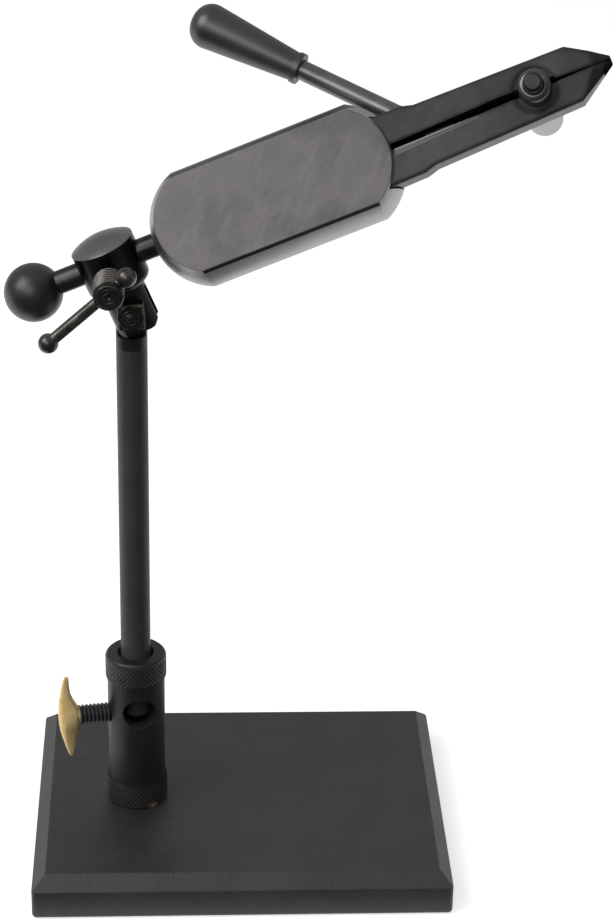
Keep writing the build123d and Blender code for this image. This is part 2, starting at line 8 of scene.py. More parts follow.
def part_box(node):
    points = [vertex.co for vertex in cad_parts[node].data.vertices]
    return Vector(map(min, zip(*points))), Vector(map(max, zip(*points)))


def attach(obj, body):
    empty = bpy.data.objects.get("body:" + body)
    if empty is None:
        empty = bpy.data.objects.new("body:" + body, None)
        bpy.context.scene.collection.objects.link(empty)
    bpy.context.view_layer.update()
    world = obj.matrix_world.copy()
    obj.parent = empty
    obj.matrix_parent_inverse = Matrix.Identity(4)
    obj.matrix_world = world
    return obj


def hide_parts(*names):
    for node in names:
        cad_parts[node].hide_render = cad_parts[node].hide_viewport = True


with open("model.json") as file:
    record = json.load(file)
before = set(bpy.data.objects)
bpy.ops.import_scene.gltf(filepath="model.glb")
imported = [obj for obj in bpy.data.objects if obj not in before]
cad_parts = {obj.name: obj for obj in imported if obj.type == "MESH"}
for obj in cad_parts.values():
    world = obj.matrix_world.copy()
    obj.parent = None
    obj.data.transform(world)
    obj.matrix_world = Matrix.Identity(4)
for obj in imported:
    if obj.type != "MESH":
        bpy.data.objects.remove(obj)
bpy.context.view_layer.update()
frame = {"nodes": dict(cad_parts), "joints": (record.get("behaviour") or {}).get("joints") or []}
nodes = frame["nodes"]
joints = {joint["name"]: joint for joint in frame["joints"]}
print("frame loaded:", len(nodes), "nodes")

# Directions of the head: along the shaft, out of the front flat, and across the jaws
shaftPlace = Vector(joints["head_turn"]["pos_m"])
shaftAxis = Vector(joints["head_turn"]["axis"])
flatNormal = Vector(joints["upper_jaw_open"]["axis"])
jawAcross = flatNormal.cross(shaftAxis)
boltPlace = Vector(joints["knob_turn"]["pos_m"])
pivotPlace = Vector(joints["head_tilt"]["pos_m"])
thumbPlace = Vector(joints["thumb_turn"]["pos_m"])
thumbAxis = Vector(joints["thumb_turn"]["axis"])
frontWay = Vector(joints["lock_turn"]["axis"])
up = Vector((0, 0, 1))
mm = 0.001

noiseSpan = (0.3, 0.7)  # the part of a noise's range that is spread over 0 to 1
edgeSpan = (0.985, 0.88)  # agreement of true and rounded normals at which wear begins and is full
softEdge = 0.00005  # width of a plane's edge in the materials, in metres
patchSpan = (0.1, 0.8)  # clouds over which the wear of edges grows to its full share
patchLeast = 0.35  # share of that wear where it is least
cellShare = 0.4  # share of the cells in the pebbled height
spotCore = 0.4  # share of a spot's size within which it is full
weldDistance = 0.000001  # corners of a new piece nearer than this are merged
# Near black for shade painted into the jaws' slit
paintedShadeBlack = (0.006, 0.006, 0.006)


# Small helpers for node trees
def put(tree, kind, values=None, **settings):
    # An input takes a plain value or the output of another node
    node = tree.nodes.new(kind)
    for key, value in settings.items():
        setattr(node, key, value)
    for key, value in (values or {}).items():
        if isinstance(value, bpy.types.NodeSocket):
            tree.links.new(value, node.inputs[key])
        else:
            node.inputs[key].default_value = value
    return node


def ranged(tree, source, values, **settings):
    return put(tree, "ShaderNodeMapRange", {"Value": source, **values}, **settings).outputs["Result"]


def worked(tree, operation, *terms):
    return put(tree, "ShaderNodeMath", dict(enumerate(terms)), operation=operation).outputs["Value"]


def vectorWorked(tree, operation, *terms):
    return put(tree, "ShaderNodeVectorMath", dict(enumerate(terms)), operation=operation).outputs


def newGroup(name, inputs, outputs):
    tree = bpy.data.node_groups.new(name, "ShaderNodeTree")
    for label, kind, value in inputs:
        socket = tree.interface.new_socket(name=label, in_out="INPUT", socket_type=kind)
        if value is not None:
            socket.default_value = value
    for label in outputs:
        tree.interface.new_socket(name=label, in_out="OUTPUT", socket_type="NodeSocketFloat")
    return tree, put(tree, "NodeGroupInput").outputs, put(tree, "NodeGroupOutput").inputs


def stretchedNoise(tree, vector, inside, values):
    # Noise drawn out along X, by the group's waves per metre along and across
    scale = put(tree, "ShaderNodeCombineXYZ", {"X": inside["Along"], "Y": inside["Across"],
                                               "Z": inside["Across"]})
    drawn = vectorWorked(tree, "MULTIPLY", vector, scale.outputs["Vector"])["Vector"]
    return put(tree, "ShaderNodeTexNoise", {"Vector": drawn, "Scale": 1.0, **values}).outputs["Fac"]


def grainGroup():
    tree, inside, outside = newGroup(
        "brushGrain",
        [("Vector", "NodeSocketVector", None), ("Along", "NodeSocketFloat", 30.0),
         ("Across", "NodeSocketFloat", 2500.0)],
        ["Grain"],
    )
    grain = stretchedNoise(tree, inside["Vector"], inside, {"Detail": 3.0, "Roughness": 0.65})
    tree.links.new(grain, outside["Grain"])
    return tree


def marksGroup():
    tree, inside, outside = newGroup(
        "handMarks",
        [("Vector", "NodeSocketVector", None), ("Cloud Scale", "NodeSocketFloat", 40.0),
         ("Along", "NodeSocketFloat", 60.0), ("Across", "NodeSocketFloat", 1600.0),
         ("Lean", "NodeSocketFloat", 0.6), ("Faint", "NodeSocketFloat", 0.66),
         ("Full", "NodeSocketFloat", 0.74)],
        ["Cloud", "Scratch"],
    )
    cloud = put(tree, "ShaderNodeTexNoise", {"Vector": inside["Vector"], "Scale": inside["Cloud Scale"],
                                             "Detail": 4.0, "Roughness": 0.55})
    spread = ranged(tree, cloud.outputs["Fac"], {"From Min": noiseSpan[0], "From Max": noiseSpan[1]})
    tree.links.new(spread, outside["Cloud"])
    # Scratches lie across the grain, so the coordinates are leaned over first
    lean = put(tree, "ShaderNodeVectorRotate", {"Vector": inside["Vector"], "Angle": inside["Lean"]},
               rotation_type="Y_AXIS")
    lines = stretchedNoise(tree, lean.outputs["Vector"], inside, {"Detail": 2.0, "Distortion": 0.5})
    thin = ranged(tree, lines, {"From Min": inside["Faint"], "From Max": inside["Full"]})
    tree.links.new(thin, outside["Scratch"])
    return tree


def pebbleGroup():
    tree, inside, outside = newGroup(
        "finePebble",
        [("Vector", "NodeSocketVector", None), ("Scale", "NodeSocketFloat", 3000.0)],
        ["Height"],
    )
    source = {key: inside[key] for key in ("Vector", "Scale")}
    noise = put(tree, "ShaderNodeTexNoise", {**source, "Detail": 3.0, "Roughness": 0.6})
    cells = put(tree, "ShaderNodeTexVoronoi", source)
    mixed = worked(tree, "MULTIPLY_ADD", cells.outputs["Distance"], cellShare, noise.outputs["Fac"])
    tree.links.new(mixed, outside["Height"])
    return tree


brushGrain = grainGroup()
handMarks = marksGroup()
finePebble = pebbleGroup()
print("shader groups made")


# Helpers for finishes: colours that are mixed, and masks for the places that differ
def rampOf(tree, source, tones):
    ramp = put(tree, "ShaderNodeValToRGB", {"Fac": source})
    stops = ramp.color_ramp.elements
    while len(stops) < len(tones):
        stops.new(0.5)
    for stop, (where, colour) in zip(stops, tones):
        stop.position = where
        stop.color = (*colour, 1)
    return ramp.outputs["Color"]


def blended(tree, factor, first, second):
    # Colours may be outputs or plain values
    first, second = [(*colour, 1) if isinstance(colour, tuple) else colour for colour in (first, second)]
    mix = put(tree, "ShaderNodeMix", {"Factor": factor, "A": first, "B": second}, data_type="RGBA")
    return mix.outputs["Result"]


def flatMask(tree, vector, half):
    # The milled faces lie at "half" from the centre along Y, and all else is turned
    split = put(tree, "ShaderNodeSeparateXYZ", {"Vector": vector})
    distance = worked(tree, "ABSOLUTE", split.outputs["Y"])
    return ranged(tree, distance, {"From Min": half - 4 * softEdge, "From Max": half - 2 * softEdge})


def wornEdges(tree, cloud, wear):
    # A rounded normal that turns away from the face marks an edge
    rounded = put(tree, "ShaderNodeBevel", {"Radius": wear["radius"]}, samples=4).outputs["Normal"]
    face = put(tree, "ShaderNodeNewGeometry").outputs["Normal"]
    agree = vectorWorked(tree, "DOT_PRODUCT", rounded, face)["Value"]
    rubbed = ranged(tree, agree, {"From Min": edgeSpan[0], "From Max": edgeSpan[1], "To Max": wear["amount"]})
    uneven = ranged(tree, cloud, {"From Min": patchSpan[0], "From Max": patchSpan[1], "To Min": patchLeast})
    return worked(tree, "MULTIPLY", rubbed, uneven), rounded


def shadeMask(tree, vector, shade):
    # A box in the turned coordinates, each side given as (middle, half width)
    axes = put(tree, "ShaderNodeSeparateXYZ", {"Vector": vector})
    mask = shade["amount"]
    for axis in "XYZ":
        if axis in shade:
            middle, half = shade[axis]
            distance = worked(tree, "ABSOLUTE", worked(tree, "SUBTRACT", axes.outputs[axis], middle))
            fade = ranged(tree, distance, {"From Min": half, "From Max": half - shade["soft"]})
            mask = worked(tree, "MULTIPLY", fade, mask)
    if "beyond" in shade:
        # Only past a slanting plane
        reach = vectorWorked(tree, "DOT_PRODUCT", vector, shade["beyond"]["way"])["Value"]
        limit = shade["beyond"]["from"]
        past = ranged(tree, reach, {"From Min": limit, "From Max": limit + softEdge})
        mask = worked(tree, "MULTIPLY", past, mask)
    return mask


def stainMask(tree, place, cloud, stain):
    # One small worn spot with a ragged rim
    reach = vectorWorked(tree, "DISTANCE", place, stain["place"])["Value"]
    ragged = worked(tree, "MULTIPLY_ADD", cloud, stain["ragged"], reach)
    return ranged(tree, ragged, {"From Min": stain["size"], "From Max": stain["size"] * spotCore,
                                 "To Max": stain["amount"]})


def insideMask(tree, place, inside):
    # Within "radius" of an upright axis, and below "top"
    offset = vectorWorked(tree, "SUBTRACT", place, inside["axis"])["Vector"]
    level = vectorWorked(tree, "MULTIPLY", offset, (1, 1, 0))["Vector"]
    radius = vectorWorked(tree, "LENGTH", level)["Value"]
    height = put(tree, "ShaderNodeSeparateXYZ", {"Vector": place}).outputs["Z"]
    near = worked(tree, "LESS_THAN", radius, inside["radius"])
    below = worked(tree, "LESS_THAN", height, inside["top"])
    return worked(tree, "MULTIPLY", near, below)


def makeFinish(name, tones, rough, metal=0.0, specular=0.5, turn=(0, 0, 0), centre=(0, 0, 0), cloudScale=40.0,
               grain=None, scratch=None, pebble=None, rings=None, wear=None, flats=None, stain=None,
               inside=None, rounding=None, shades=(), crest=None):
    # tones are (place, colour) stops that soft clouds run through
    material = bpy.data.materials.new(name)
    material.use_nodes = True
    tree = material.node_tree
    shader = tree.nodes["Principled BSDF"]
    shader.inputs["Metallic"].default_value = metal
    shader.inputs["Specular IOR Level"].default_value = specular
    place = put(tree, "ShaderNodeTexCoord").outputs["Object"]
    mapping = put(tree, "ShaderNodeMapping", {"Vector": place, "Rotation": turn, "Location": centre})
    vector = mapping.outputs["Vector"]
    marks = put(tree, "ShaderNodeGroup", {"Vector": vector, "Cloud Scale": cloudScale}, node_tree=handMarks)
    cloud = marks.outputs["Cloud"]
    colour = rampOf(tree, cloud, tones)
    roughSource = cloud
    normal = None
    heights = []
    if grain:
        brushed = put(tree, "ShaderNodeGroup",
                      {"Vector": vector, "Along": grain["along"], "Across": grain["across"]},
                      node_tree=brushGrain)
        lines = brushed.outputs["Grain"]
        shade = ranged(tree, lines, {"From Min": noiseSpan[0], "From Max": noiseSpan[1],
                                     "To Min": 1 - grain["depth"], "To Max": 1 + grain["depth"]})
        dyed = put(tree, "ShaderNodeMix", {"Factor": 1.0, "A": colour, "B": shade}, data_type="RGBA",
                   blend_type="MULTIPLY")
        colour = dyed.outputs["Result"]
        heights.append((lines, grain["height"]))
        roughSource = worked(tree, "MULTIPLY_ADD", lines, 0.5, worked(tree, "MULTIPLY", cloud, 0.5))
    if scratch:
        for key in ("along", "across", "lean"):
            marks.inputs[key.capitalize()].default_value = scratch[key]
        if "step" in scratch:
            marks.inputs["Faint"].default_value, marks.inputs["Full"].default_value = scratch["step"]
        amount = worked(tree, "MULTIPLY", marks.outputs["Scratch"], scratch["amount"])
        colour = blended(tree, amount, colour, scratch["colour"])
    if pebble:
        bumps = put(tree, "ShaderNodeGroup", {"Vector": vector, "Scale": pebble["scale"]},
                    node_tree=finePebble)
        heights.append((bumps.outputs["Height"], pebble["height"]))
    if rings:
        # Turning marks: fine waves along one axis of the turned coordinates
        wave = put(tree, "ShaderNodeTexWave", {"Vector": vector, "Scale": rings["scale"],
                                               "Distortion": rings["distortion"], "Detail": 2.0},
                   bands_direction=rings["axis"])
        heights.append((wave.outputs["Fac"], rings["height"]))
    roughness = ranged(tree, roughSource, {"To Min": rough[0], "To Max": rough[1]})
    if flats:
        milled = flatMask(tree, vector, flats["half"])
        satin = ranged(tree, milled, {"To Min": metal, "To Max": flats["metal"]})
        tree.links.new(satin, shader.inputs["Metallic"])
        colour = blended(tree, milled, rampOf(tree, cloud, flats["turned"]), colour)
        roughness = ranged(tree, milled, {"To Min": flats["rough"], "To Max": roughness})
    if wear:
        worn, normal = wornEdges(tree, cloud, wear)
        colour = blended(tree, worn, colour, wear["colour"])
    if rounding:
        normal = put(tree, "ShaderNodeBevel", {"Radius": rounding}, samples=6).outputs["Normal"]
    if crest:
        # The piece's own attribute is 1 on the tops of a knurl or thread and 0 between them
        points = put(tree, "ShaderNodeAttribute", attribute_name="crest")
        tops = ranged(tree, points.outputs["Fac"], {"From Min": crest["low"]})
        colour = blended(tree, tops, colour, crest["colour"])
    edge = (1.0, 1.0, 1.0)
    shine = specular
    for shade in shades:
        mask = shadeMask(tree, vector, shade)
        colour = blended(tree, mask, colour, shade["colour"])
        if "edgeTint" in shade:
            # Where shade is painted in the slit, nothing shines at a glancing view either
            edge = blended(tree, mask, edge, paintedShadeBlack)
            shine = ranged(tree, mask, {"To Min": shine, "To Max": 0.0})
    if stain:
        colour = blended(tree, stainMask(tree, place, cloud, stain), colour, stain["colour"])
    if inside:
        # Painted shade: the metal in there is coloured near black and rough, as if unlit
        boreShade = insideMask(tree, place, inside)
        colour = blended(tree, boreShade, colour, inside["colour"])
        roughness = ranged(tree, boreShade, {"To Min": roughness, "To Max": inside["rough"]})
    if not isinstance(edge, tuple):
        tree.links.new(edge, shader.inputs["Specular Tint"])
        tree.links.new(shine, shader.inputs["Specular IOR Level"])
    tree.links.new(colour, shader.inputs["Base Color"])
    tree.links.new(roughness, shader.inputs["Roughness"])
    for source, height in heights:
        bump = put(tree, "ShaderNodeBump", {"Strength": 1.0, "Distance": height, "Height": source})
        if normal:
            tree.links.new(normal, bump.inputs["Normal"])
        normal = bump.outputs["Normal"]
    if normal:
        tree.links.new(normal, shader.inputs["Normal"])
    return material


# Turns of the coordinates. In the head X runs along the shaft and Z across the jaws, with the shaft at the
# centre, and on the stem and the sliding bar X runs along them.
headMatrix = Matrix((shaftAxis, -flatNormal, jawAcross))
headTurn = tuple(headMatrix.to_euler())
headCentre = tuple(headMatrix @ -shaftPlace)
uprightTurn = (0, math.radians(90), 0)
barSlope = math.radians(42)
barTurn = tuple(Matrix.Rotation(barSlope, 3, "Y").to_euler())

basePaint = makeFinish(
    "basePaint", [(0.0, (0.013, 0.013, 0.0133)), (0.5, (0.019, 0.019, 0.0193)),
                  (1.0, (0.027, 0.027, 0.0273))],
    rough=(0.42, 0.56), specular=0.66, cloudScale=60.0,
    grain={"along": 420.0, "across": 900.0, "depth": 0.2, "height": 0.00002},
    scratch={"along": 25.0, "across": 900.0, "lean": 0.2, "amount": 0.12, "colour": (0.06, 0.06, 0.06)},
    pebble={"scale": 1500.0, "height": 0.00009},
    wear={"radius": 0.0007, "amount": 0.35, "colour": (0.08, 0.08, 0.08)},
)
stemBlack = makeFinish(
    "stemBlack", [(0.0, (0.05, 0.047, 0.0475)), (1.0, (0.068, 0.064, 0.065))], rough=(0.36, 0.48),
    specular=0.22, turn=uprightTurn, cloudScale=60.0,
    grain={"along": 25.0, "across": 1800.0, "depth": 0.14, "height": 0.000004},
)
tongueBlack = makeFinish(
    "tongueBlack", [(0.0, (0.006, 0.006, 0.0062)), (1.0, (0.012, 0.0118, 0.0118))], rough=(0.3, 0.44),
    specular=0.3, cloudScale=120.0, rings={"scale": 320.0, "distortion": 0.6, "axis": "Z", "height": 0.00003},
)
socketBlack = makeFinish(
    "socketBlack", [(0.0, (0.0085, 0.0085, 0.0087)), (1.0, (0.014, 0.014, 0.0142))], rough=(0.4, 0.54),
    specular=0.45, cloudScale=70.0, pebble={"scale": 4200.0, "height": 0.000008},
    wear={"radius": 0.0004, "amount": 0.4, "colour": (0.05, 0.05, 0.05)},
    # Painted shade: the bore inside the socket is coloured near black
    inside={"axis": (thumbPlace.x, thumbPlace.y, 0), "radius": 0.0089, "top": 0.0689,
            "colour": (0.003, 0.003, 0.003), "rough": 0.9},
)
knurlBlack = makeFinish(
    "knurlBlack", [(0.0, (0.003, 0.003, 0.0031)), (1.0, (0.006, 0.006, 0.0061))], rough=(0.3, 0.42),
    specular=0.5, cloudScale=90.0, crest={"low": 0.0, "colour": (0.045, 0.045, 0.046)},
    stain={"place": (-0.0286, -0.0104, 0.0146), "size": 0.0026, "ragged": 0.001, "amount": 0.9,
           "colour": (0.34, 0.21, 0.12)},
)
# Below the dome's rim the collar and fork are coloured near black
collarSide = {"X": (-0.04, 0.1), "soft": 0.01, "amount": 0.9, "colour": (0.012, 0.012, 0.012),
              "beyond": {"way": (0.3891, 0.0, -0.9212), "from": -0.2096}}
collarSteel = makeFinish(
    "collarSteel", [(0.0, (0.16, 0.157, 0.152)), (1.0, (0.245, 0.241, 0.232))], metal=1.0, rough=(0.24, 0.36),
    cloudScale=90.0, pebble={"scale": 5200.0, "height": 0.000006},
    scratch={"along": 80.0, "across": 1800.0, "lean": 0.7, "amount": 0.2, "colour": (0.18, 0.175, 0.17)},
    wear={"radius": 0.0004, "amount": 0.6, "colour": (0.3, 0.29, 0.27)}, shades=[collarSide],
)
screwSteel = makeFinish(
    "screwSteel", [(0.0, (0.04, 0.036, 0.032)), (0.6, (0.066, 0.06, 0.053)), (1.0, (0.095, 0.086, 0.075))],
    metal=1.0, rough=(0.26, 0.42), cloudScale=260.0, pebble={"scale": 5000.0, "height": 0.000012},
    wear={"radius": 0.0003, "amount": 0.85, "colour": (0.42, 0.4, 0.36)},
)
threadSteel = makeFinish(
    "threadSteel", [(0.0, (0.018, 0.0165, 0.0145)), (0.6, (0.03, 0.0275, 0.024)),
                    (1.0, (0.045, 0.041, 0.036))],
    metal=0.7, rough=(0.24, 0.4), cloudScale=260.0, crest={"low": 0.8, "colour": (0.33, 0.31, 0.285)},
)
barSteel = makeFinish(
    "barSteel", [(0.0, (0.05, 0.046, 0.042)), (0.5, (0.085, 0.079, 0.072)), (1.0, (0.16, 0.15, 0.14))],
    metal=0.9, rough=(0.2, 0.34), cloudScale=300.0, turn=barTurn,
    grain={"along": 120.0, "across": 4200.0, "depth": 0.15, "height": 0.000004},
)
shaftSteel = makeFinish(
    "shaftSteel", [(0.0, (0.032, 0.0325, 0.034)), (1.0, (0.056, 0.057, 0.059))], metal=1.0,
    rough=(0.27, 0.37), turn=headTurn, cloudScale=150.0,
    rings={"scale": 700.0, "distortion": 1.2, "axis": "X", "height": 0.00001},
)
# Painted dark reflections in strips beside the lower and upper edges of the body's front flat
flatShadow = {"X": (0.0542, 0.0276), "Y": (-0.0097, 0.00062), "Z": (-0.0152, 0.002), "soft": 0.00012,
              "amount": 0.95, "colour": (0.02, 0.02, 0.02)}
edgeShadow = {"Y": (-0.0104, 0.0066), "soft": 0.004, "amount": 0.85, "colour": (0.03, 0.03, 0.031),
              "beyond": {"way": (0.0, 0.0, 1.0), "from": 0.0147}}
bodySteel = makeFinish(
    "bodySteel",
    [(0.0, (0.066, 0.066, 0.074)), (0.35, (0.091, 0.086, 0.09)), (0.6, (0.118, 0.11, 0.106)),
     (1.0, (0.095, 0.096, 0.104))],
    metal=1.0, rough=(0.32, 0.42), turn=headTurn, centre=headCentre, cloudScale=52.0,
    grain={"along": 110.0, "across": 2800.0, "depth": 0.11, "height": 0.000003},
    scratch={"along": 90.0, "across": 620.0, "lean": 0.8, "amount": 0.34, "colour": (0.18, 0.175, 0.172),
             "step": (0.52, 0.76)},
    flats={"half": 0.0104, "metal": 0.4, "rough": 0.42,
           "turned": [(0.0, (0.36, 0.352, 0.348)), (1.0, (0.46, 0.45, 0.444))]},
    wear={"radius": 0.00025, "amount": 0.25, "colour": (0.3, 0.29, 0.285)}, shades=[flatShadow, edgeShadow],
)
# The slit between the jaws is painted black as shade, a painted highlight makes a lighter lip near the body,
# and the tip is darker
slitLip = {"X": (0.12, 0.032), "Y": (-0.0085, 0.00062), "Z": (0.0007, 0.001), "soft": 0.00005,
           "amount": 1.0, "colour": paintedShadeBlack, "edgeTint": True}
slitSide = {"Y": (-0.0042, 0.0038), "Z": (-0.0013, 0.0018), "soft": 0.0001, "amount": 1.0, "colour": paintedShadeBlack,
            "edgeTint": True}
# Painted highlights: lighter bands on the lower jaw's front face just below its top edge, standing in for a
# lit chamfer
lipFaceHighlight = {"X": (0.104, 0.013), "Y": (-0.0092, 0.00015), "Z": (-0.0021, 0.0014), "soft": 0.00005,
           "amount": 0.85, "colour": (0.1, 0.102, 0.106),
           "beyond": {"way": (-0.0556, 0.0, 1.0), "from": -0.0085}}
lipTopHighlight = {**lipFaceHighlight, "colour": (0.2, 0.2, 0.203), "beyond": {"way": (-0.0556, 0.0, 1.0), "from": -0.0075}}
tipEnd = {"X": (0.162, 0.022), "soft": 0.012, "amount": 0.75, "colour": (0.02, 0.02, 0.0205)}
jawSteel = makeFinish(
    "jawSteel", [(0.0, (0.008, 0.009, 0.011)), (0.45, (0.02, 0.0215, 0.0245)),
                 (1.0, (0.046, 0.0465, 0.048))],
    metal=0.35, rough=(0.32, 0.44), turn=headTurn, centre=headCentre, cloudScale=60.0, rounding=0.002,
    grain={"along": 40.0, "across": 2400.0, "depth": 0.1, "height": 0.000003},
    scratch={"along": 110.0, "across": 1200.0, "lean": 0.5, "amount": 0.14, "colour": (0.12, 0.12, 0.127),
             "step": (0.58, 0.76)},
    wear={"radius": 0.00025, "amount": 0.3, "colour": (0.3, 0.31, 0.33)},
    shades=[slitLip, slitSide, tipEnd, lipFaceHighlight, lipTopHighlight],
)
nutSteel = makeFinish(
    "nutSteel", [(0.0, (0.09, 0.092, 0.097)), (1.0, (0.14, 0.142, 0.148))], metal=1.0, rough=(0.24, 0.36),
    turn=headTurn, centre=headCentre, cloudScale=220.0,
    rings={"scale": 520.0, "distortion": 0.5, "axis": "Y", "height": 0.00001},
    wear={"radius": 0.00025, "amount": 0.5, "colour": (0.26, 0.265, 0.275)},
)
boltSteel = makeFinish(
    "boltSteel", [(0.0, (0.028, 0.028, 0.03)), (1.0, (0.05, 0.051, 0.053))], metal=1.0, rough=(0.24, 0.36),
    turn=headTurn, cloudScale=240.0, wear={"radius": 0.00025, "amount": 0.6, "colour": (0.24, 0.245, 0.255)},
)
gripPlastic = makeFinish(
    "gripPlastic", [(0.0, (0.008, 0.008, 0.008)), (1.0, (0.014, 0.014, 0.014))], rough=(0.32, 0.4),
    specular=0.6, cloudScale=90.0, pebble={"scale": 3600.0, "height": 0.00001},
)
leverGrip = makeFinish(
    "leverGrip", [(0.0, (0.007, 0.007, 0.007)), (1.0, (0.012, 0.012, 0.012))], rough=(0.36, 0.44),
    specular=1.0, cloudScale=120.0, pebble={"scale": 3200.0, "height": 0.00002},
    wear={"radius": 0.0004, "amount": 0.4, "colour": (0.05, 0.05, 0.05)},
)
leverBlack = makeFinish(
    "leverBlack", [(0.0, (0.14, 0.14, 0.141)), (1.0, (0.2, 0.2, 0.202))], metal=1.0, rough=(0.28, 0.35),
    cloudScale=120.0, turn=headTurn,
    grain={"along": 40.0, "across": 2000.0, "depth": 0.1, "height": 0.000002},
)
wingBrass = makeFinish(
    "wingBrass", [(0.0, (0.7, 0.46, 0.16)), (0.5, (0.92, 0.66, 0.28)), (1.0, (0.98, 0.76, 0.38))], metal=0.25,
    rough=(0.34, 0.5), cloudScale=180.0, pebble={"scale": 3800.0, "height": 0.00002},
    scratch={"along": 150.0, "across": 2600.0, "lean": 1.2, "amount": 0.25, "colour": (0.34, 0.22, 0.08)},
    wear={"radius": 0.0004, "amount": 0.5, "colour": (0.9, 0.72, 0.42)},
)
knobAlloy = makeFinish(
    "knobAlloy", [(0.0, (0.32, 0.32, 0.322)), (1.0, (0.4, 0.4, 0.4))], metal=1.0, rough=(0.34, 0.46),
    turn=headTurn, cloudScale=160.0,
    rings={"scale": 420.0, "distortion": 0.8, "axis": "Y", "height": 0.00002},
)
springWire = makeFinish(
    "springWire", [(0.0, (0.3, 0.3, 0.31)), (1.0, (0.42, 0.42, 0.43))], metal=1.0, rough=(0.22, 0.36),
    cloudScale=300.0,
)
print("finishes made")

nodeFinish = {
    "base_plate": basePaint, "base_screw": socketBlack, "stem_socket": socketBlack, "thumb_stud": socketBlack,
    "thumb_wing": wingBrass, "stem_rod": stemBlack, "stem_tongue": tongueBlack, "knuckle_fork": collarSteel,
    "pivot_bolt": screwSteel, "pivot_nut": screwSteel, "lock_screw": screwSteel, "tommy_bar": barSteel,
    "tommy_balls": barSteel, "rotary_shaft": shaftSteel, "ball_grip": gripPlastic, "head_body": bodySteel,
    "shaft_set_screw": socketBlack, "upper_jaw": jawSteel, "lower_jaw": jawSteel, "jaw_pins": screwSteel,
    "jaw_bolt": boltSteel, "jaw_nut": nutSteel, "jaw_knob": knobAlloy, "jaw_spring": springWire,
    "cam_shaft": screwSteel, "lever_hub": leverBlack, "hub_screw": socketBlack, "lever_rod": leverBlack,
    "lever_grip": leverGrip,
}
for name, material in nodeFinish.items():
    for materialSlot in nodes[name].material_slots:
        materialSlot.material = material
print("finishes on CAD nodes:", len(nodeFinish))


# Helpers for new pieces
def along(place, axis, side):
    # Local Z lies on the axis and local X as near to "side" as it can
    z = Vector(axis).normalized()
    y = z.cross(Vector(side)).normalized()
    x = y.cross(z)
    turn = Matrix((x, y, z)).transposed().to_4x4()
    return Matrix.Translation(place) @ turn


def addPiece(name, bm, material, body, place=None, replaced=(), sharp=35.0):
    if place:
        bmesh.ops.transform(bm, matrix=place, verts=bm.verts)
    bmesh.ops.remove_doubles(bm, verts=bm.verts, dist=weldDistance)
    bmesh.ops.recalc_face_normals(bm, faces=bm.faces)
    mesh = bpy.data.meshes.new(name)
    bm.to_mesh(mesh)
    bm.free()
    mesh.shade_smooth()
    mesh.set_sharp_from_angle(angle=math.radians(sharp))
    piece = bpy.data.objects.new(name, mesh)
    bpy.context.scene.collection.objects.link(piece)
    mesh.materials.append(material)
    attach(piece, body)
    if replaced:
        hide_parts(*replaced)
    print("piece:", name, len(mesh.polygons), "faces")
    return piece


def turned(bm, profile, steps):
    # Spins an outline of (radius, height) in millimetres round Z
    corners = [bm.verts.new((radius * mm, 0, height * mm)) for radius, height in profile]
    sides = [bm.edges.new(pair) for pair in zip(corners, corners[1:])]
    bmesh.ops.spin(bm, geom=corners + sides, cent=(0, 0, 0), axis=(0, 0, 1), angle=math.tau, steps=steps,
                   use_merge=True)


def zigzag(value):
    return 1 - abs(2 * (value - math.floor(value)) - 1)


def knurled(bm, radius, inner, start, end, across, rise, depth, lean=1):
    # A sleeve with raised diamonds, or straight flutes when lean is 0
    bmesh.ops.create_cone(bm, cap_ends=False, segments=across * 4, radius1=radius * mm, radius2=radius * mm,
                          depth=(end - start) * mm)
    uprights = [edge for edge in bm.edges if abs(edge.verts[0].co.z - edge.verts[1].co.z) > mm * rise / 8]
    rows = max(1, round((end - start) / rise * 4))
    bmesh.ops.subdivide_edges(bm, edges=uprights, cuts=rows - 1, use_grid_fill=True)
    half = (end - start) / 2 * mm
    crest = bm.verts.layers.float.new("crest")
    for vert in bm.verts:
        turns = math.atan2(vert.co.y, vert.co.x) / math.tau * across
        climb = lean * vert.co.z / (rise * mm)
        atEnd = abs(abs(vert.co.z) - half) < mm * rise / 8
        lift = 0 if atEnd else depth * min(zigzag(turns + climb), zigzag(turns - climb))
        vert.co.xy *= (radius + lift) / radius
        vert[crest] = lift / depth
    rims = [edge for edge in bm.edges if edge.is_boundary]
    flange = bmesh.ops.extrude_edge_only(bm, edges=rims)["geom"]
    for vert in flange:
        if isinstance(vert, bmesh.types.BMVert):
            vert.co.xy *= inner * mm / vert.co.xy.length
    bmesh.ops.translate(bm, vec=(0, 0, (start + end) / 2 * mm), verts=bm.verts)


# Knurled bands of the stem socket
bands = {"height": 8.6, "across": 48, "rise": 1.7, "depth": 0.34, "proud": 0.02, "inner": 9.3, "rim": 0.7}
socketLow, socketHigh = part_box("stem_socket")
socketRadius = (socketHigh.x - socketLow.x) / 2 / mm
socketAxis = along(Vector((thumbPlace.x, thumbPlace.y, 0)), up, (1, 0, 0))
footStart = socketLow.z / mm
topEnd = socketHigh.z / mm - bands["rim"]
for name, start, end in (
    ("footKnurl", footStart, footStart + bands["height"]),
    ("topKnurl", topEnd + bands["rim"] - bands["height"], topEnd),
):
    bm = bmesh.new()
    knurled(bm, socketRadius + bands["proud"], bands["inner"], start, end, bands["across"], bands["rise"],
            bands["depth"])
    addPiece(name, bm, knurlBlack, "base", socketAxis, sharp=20.0)

